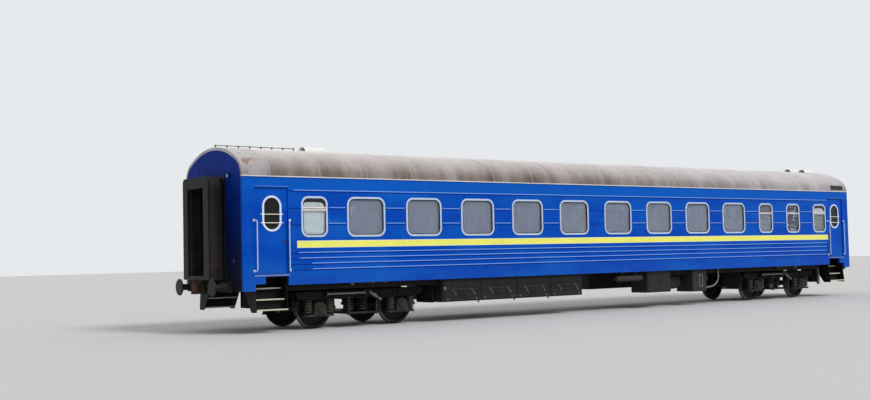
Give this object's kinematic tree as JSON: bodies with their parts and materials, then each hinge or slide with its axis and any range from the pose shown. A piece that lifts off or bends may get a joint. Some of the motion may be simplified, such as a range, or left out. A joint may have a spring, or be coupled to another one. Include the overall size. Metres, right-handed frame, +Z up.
{
  "type": "passenger railway coach",
  "caption": "Broad-gauge compartment sleeping coach with arched roof, end vestibules, swivelling bogies, rolling wheelsets, hinged entrance doors and gangways.",
  "frame": {"origin": "middle of the coach, level with the lowest point of the wheel flanges", "axes": "+X along the coach towards its rear end, +Y across to its right side, +Z up"},
  "size_m": [24.87, 3.232, 4.483],
  "materials": {
    "body_paint": "cobalt blue enamel with a yellow waist band, semi-gloss, lightly dusty",
    "end_paint": "darker blue enamel, dusty",
    "roof_paint": "weathered pale grey paint with brown grime",
    "hood_paint": "off-white paint",
    "frame_steel": "black paint under road dust",
    "floor_sheet": "brown floor sheet",
    "trim_metal": "satin",
    "window_glass": "clear",
    "blind_cloth": "grey coated cloth",
    "inner_laminate": "beige laminate",
    "gangway_rubber": "matt black, dusty",
    "coupler_iron": "rust-stained cast steel",
    "buffer_steel": "greasy steel",
    "step_steel": "worn grey paint",
    "rail_paint": "cream paint",
    "locker_paint": "dark grey paint, dusty",
    "tank_paint": "dark grey paint",
    "pipe_metal": "pale grey paint",
    "bogie_steel": "black paint under brown dust",
    "bogie_iron": "dusty cast steel",
    "spring_steel": "dusty spring steel",
    "wheel_steel": "rolled steel, rusty on the web"
  },
  "bodies": {
    "coach": {"underframe": "frame_steel", "floor": "floor_sheet", "side_wall_left": "body_paint", "side_wall_right": "body_paint", "entrance_bays": "body_paint", "end_wall_front": "end_paint", "end_wall_rear": "end_paint", "roof": "roof_paint", "roof_hoods": "hood_paint", "roof_aerial": "frame_steel", "window_trims": "trim_metal", "window_glass": "window_glass", "window_blinds": "blind_cloth", "inner_walls": "inner_laminate", "gangway_frames": "frame_steel", "gangway_tubes": "gangway_rubber", "couplers": "coupler_iron", "buffers": "buffer_steel", "entrance_steps": "step_steel", "hand_rails": "rail_paint", "battery_box": "locker_paint", "equipment_lockers": "locker_paint", "air_reservoirs": "tank_paint", "waste_pipes": "pipe_metal"},
    "bogie_front": {"bogie_frame_front": "bogie_steel", "axle_boxes_front": "bogie_iron", "bogie_springs_front": "spring_steel", "swing_bolster_front": "bogie_steel", "cradle_front": "bogie_steel", "brakes_front": "bogie_iron"},
    "bogie_rear": {"bogie_frame_rear": "bogie_steel", "axle_boxes_rear": "bogie_iron", "bogie_springs_rear": "spring_steel", "swing_bolster_rear": "bogie_steel", "cradle_rear": "bogie_steel", "brakes_rear": "bogie_iron"},
    "wheelset_front_outer": {"wheelset_front_outer": "wheel_steel"},
    "wheelset_front_inner": {"wheelset_front_inner": "wheel_steel"},
    "wheelset_rear_outer": {"wheelset_rear_outer": "wheel_steel"},
    "wheelset_rear_inner": {"wheelset_rear_inner": "wheel_steel"},
    "door_front_left": {"side_door_front_left": "body_paint", "side_door_glass_front_left": "window_glass"},
    "door_rear_left": {"side_door_rear_left": "body_paint", "side_door_glass_rear_left": "window_glass"},
    "door_front_right": {"side_door_front_right": "body_paint", "side_door_glass_front_right": "window_glass"},
    "door_rear_right": {"side_door_rear_right": "body_paint", "side_door_glass_rear_right": "window_glass"},
    "gangway_door_front": {"end_door_front": "end_paint", "end_door_glass_front": "window_glass"},
    "gangway_door_rear": {"end_door_rear": "end_paint", "end_door_glass_rear": "window_glass"},
    "cover_front_left": {"step_cover_front_left": "step_steel"},
    "cover_rear_left": {"step_cover_rear_left": "step_steel"},
    "cover_front_right": {"step_cover_front_right": "step_steel"},
    "cover_rear_right": {"step_cover_rear_right": "step_steel"}
  },
  "joints": [
    {"name": "bogie_front_swivel", "type": "hinge", "parent": "coach", "child": "bogie_front", "pos_m": [-8.35, 0, 1.013], "axis": [0, 0, 1], "range_deg": [-4, 4]},
    {"name": "bogie_rear_swivel", "type": "hinge", "parent": "coach", "child": "bogie_rear", "pos_m": [8.35, 0, 1.013], "axis": [0, 0, 1], "range_deg": [-4, 4]},
    {"name": "wheelset_front_outer_roll", "type": "hinge", "parent": "bogie_front", "child": "wheelset_front_outer", "pos_m": [-9.55, 0, 0.503], "axis": [0, 1, 0], "continuous": true},
    {"name": "wheelset_front_inner_roll", "type": "hinge", "parent": "bogie_front", "child": "wheelset_front_inner", "pos_m": [-7.15, 0, 0.503], "axis": [0, 1, 0], "continuous": true},
    {"name": "wheelset_rear_outer_roll", "type": "hinge", "parent": "bogie_rear", "child": "wheelset_rear_outer", "pos_m": [9.55, 0, 0.503], "axis": [0, 1, 0], "continuous": true},
    {"name": "wheelset_rear_inner_roll", "type": "hinge", "parent": "bogie_rear", "child": "wheelset_rear_inner", "pos_m": [7.15, 0, 0.503], "axis": [0, 1, 0], "continuous": true},
    {"name": "door_front_left_swing", "type": "hinge", "parent": "coach", "child": "door_front_left", "pos_m": [-11.472, -1.446, 2.353], "axis": [0, 0, 1], "range_deg": [0, 90]},
    {"name": "door_rear_left_swing", "type": "hinge", "parent": "coach", "child": "door_rear_left", "pos_m": [11.472, -1.446, 2.353], "axis": [0, 0, -1], "range_deg": [0, 90]},
    {"name": "door_front_right_swing", "type": "hinge", "parent": "coach", "child": "door_front_right", "pos_m": [-11.472, 1.446, 2.353], "axis": [0, 0, -1], "range_deg": [0, 90]},
    {"name": "door_rear_right_swing", "type": "hinge", "parent": "coach", "child": "door_rear_right", "pos_m": [11.472, 1.446, 2.353], "axis": [0, 0, 1], "range_deg": [0, 90]},
    {"name": "gangway_door_front_swing", "type": "hinge", "parent": "coach", "child": "gangway_door_front", "pos_m": [-11.716, -0.342, 2.328], "axis": [0, 0, -1], "range_deg": [0, 90]},
    {"name": "gangway_door_rear_swing", "type": "hinge", "parent": "coach", "child": "gangway_door_rear", "pos_m": [11.716, 0.342, 2.328], "axis": [0, 0, -1], "range_deg": [0, 90]},
    {"name": "cover_front_left_lift", "type": "hinge", "parent": "coach", "child": "cover_front_left", "pos_m": [-10.665, -1.1725, 1.358], "axis": [0, 1, 0], "range_deg": [0, 90]},
    {"name": "cover_rear_left_lift", "type": "hinge", "parent": "coach", "child": "cover_rear_left", "pos_m": [10.665, -1.1725, 1.358], "axis": [0, -1, 0], "range_deg": [0, 90]},
    {"name": "cover_front_right_lift", "type": "hinge", "parent": "coach", "child": "cover_front_right", "pos_m": [-10.665, 1.1725, 1.358], "axis": [0, 1, 0], "range_deg": [0, 90]},
    {"name": "cover_rear_right_lift", "type": "hinge", "parent": "coach", "child": "cover_rear_right", "pos_m": [10.665, 1.1725, 1.358], "axis": [0, -1, 0], "range_deg": [0, 90]}
  ]
}
